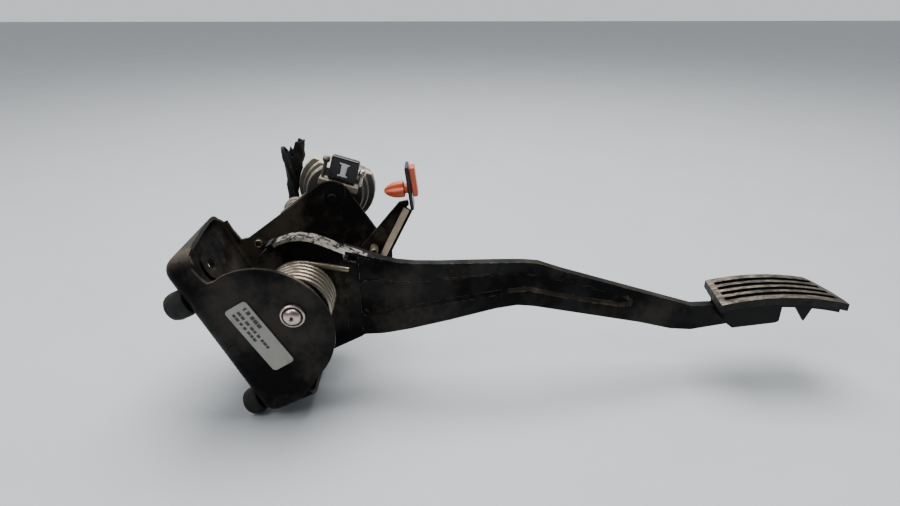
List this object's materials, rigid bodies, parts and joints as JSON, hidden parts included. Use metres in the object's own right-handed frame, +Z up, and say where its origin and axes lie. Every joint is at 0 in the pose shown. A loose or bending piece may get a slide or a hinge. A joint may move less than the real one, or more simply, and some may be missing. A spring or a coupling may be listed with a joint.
{
  "type": "accelerator pedal module",
  "caption": "Hanging accelerator pedal: sprung pressed-steel arm with ribbed rubber pad in a bulkhead bracket, linked to a rotary position sensor with a connector.",
  "frame": {"origin": "centre of the bracket's flat outer face, where it meets the bulkhead", "axes": "+X along the pedal arm towards the pad, +Y along the pivot axis from the label wall to the sensor, +Z up with the module lying on its bracket; the bulkhead face leans 25.1 degrees from Z"},
  "size_m": [0.3717, 0.1127, 0.131],
  "materials": {
    "black_steel": "satin black coat, dusty",
    "arm_steel": "satin black coat, worn at the edges",
    "zinc": "dull zinc plate",
    "spring_steel": "oiled spring wire",
    "rubber": "matt, dusty",
    "dusty_plastic": "dark plastic under pale dust",
    "dark_plastic": "matt",
    "nylon": "satin",
    "orange": "semi-gloss",
    "label": "matt foil",
    "board": "satin"
  },
  "bodies": {
    "root": {"buffer_lower": "rubber", "buffer_upper": "rubber", "cable_boot": "rubber", "cable_gland": "dusty_plastic", "clip_plate": "dark_plastic", "connector_frame": "dark_plastic", "connector_ledge": "dusty_plastic", "connector_lock": "nylon", "full_stop_bumper": "rubber", "harness_bracket": "black_steel", "harness_clip": "orange", "hollow_rivet_left": "zinc", "hollow_rivet_right": "zinc", "idle_stop_bumper": "rubber", "label_plate": "label", "latch_post_left": "dark_plastic", "latch_post_right": "zinc", "mounting_bracket": "black_steel", "pin_circlip": "zinc", "pin_washer": "zinc", "pivot_pin": "zinc", "return_spring_far": "spring_steel", "return_spring_near": "spring_steel", "sensor_board": "board", "sensor_cap": "dark_plastic", "sensor_housing": "dark_plastic", "sensor_spacer_left": "zinc", "sensor_spacer_right": "zinc", "stop_bracket": "black_steel", "wall_bush": "nylon"},
    "pedal": {"pedal_arm": "arm_steel", "hub_tube": "zinc", "hub_bush_near": "nylon", "hub_bush_far": "nylon", "spring_sleeve_near": "dark_plastic", "spring_sleeve_far": "dark_plastic", "sensor_crank": "zinc", "crank_pin": "zinc", "pad_carrier": "dark_plastic", "pedal_pad": "rubber"},
    "link": {"drive_link": "dark_plastic"},
    "sensor_lever": {"sensor_lever": "zinc", "lever_pin": "zinc", "sensor_shaft": "zinc", "wiper_rotor": "nylon"}
  },
  "joints": [
    {"name": "pedal_hinge", "type": "hinge", "parent": "root", "child": "pedal", "pos_m": [0.04211, 0, 0.01972], "axis": [0, 1, 0], "range_deg": [0, 9], "stiffness_Nm_per_rad": 3, "springref_deg": -34.38, "deforming": ["return_spring_near", "return_spring_far"]},
    {"name": "link_hinge", "type": "hinge", "parent": "pedal", "child": "link", "pos_m": [0.02768, 0.044, 0.01564], "axis": [0, 1, 0], "range_deg": [-9, 0]},
    {"name": "sensor_hinge", "type": "hinge", "parent": "root", "child": "sensor_lever", "pos_m": [0.05311, 0.044, 0.05526], "axis": [0, 1, 0], "range_deg": [0, 9]}
  ],
  "couplings": [
    {"joint": "link_hinge", "follows": "pedal_hinge", "ratio": -1},
    {"joint": "sensor_hinge", "follows": "pedal_hinge", "ratio": 1}
  ]
}
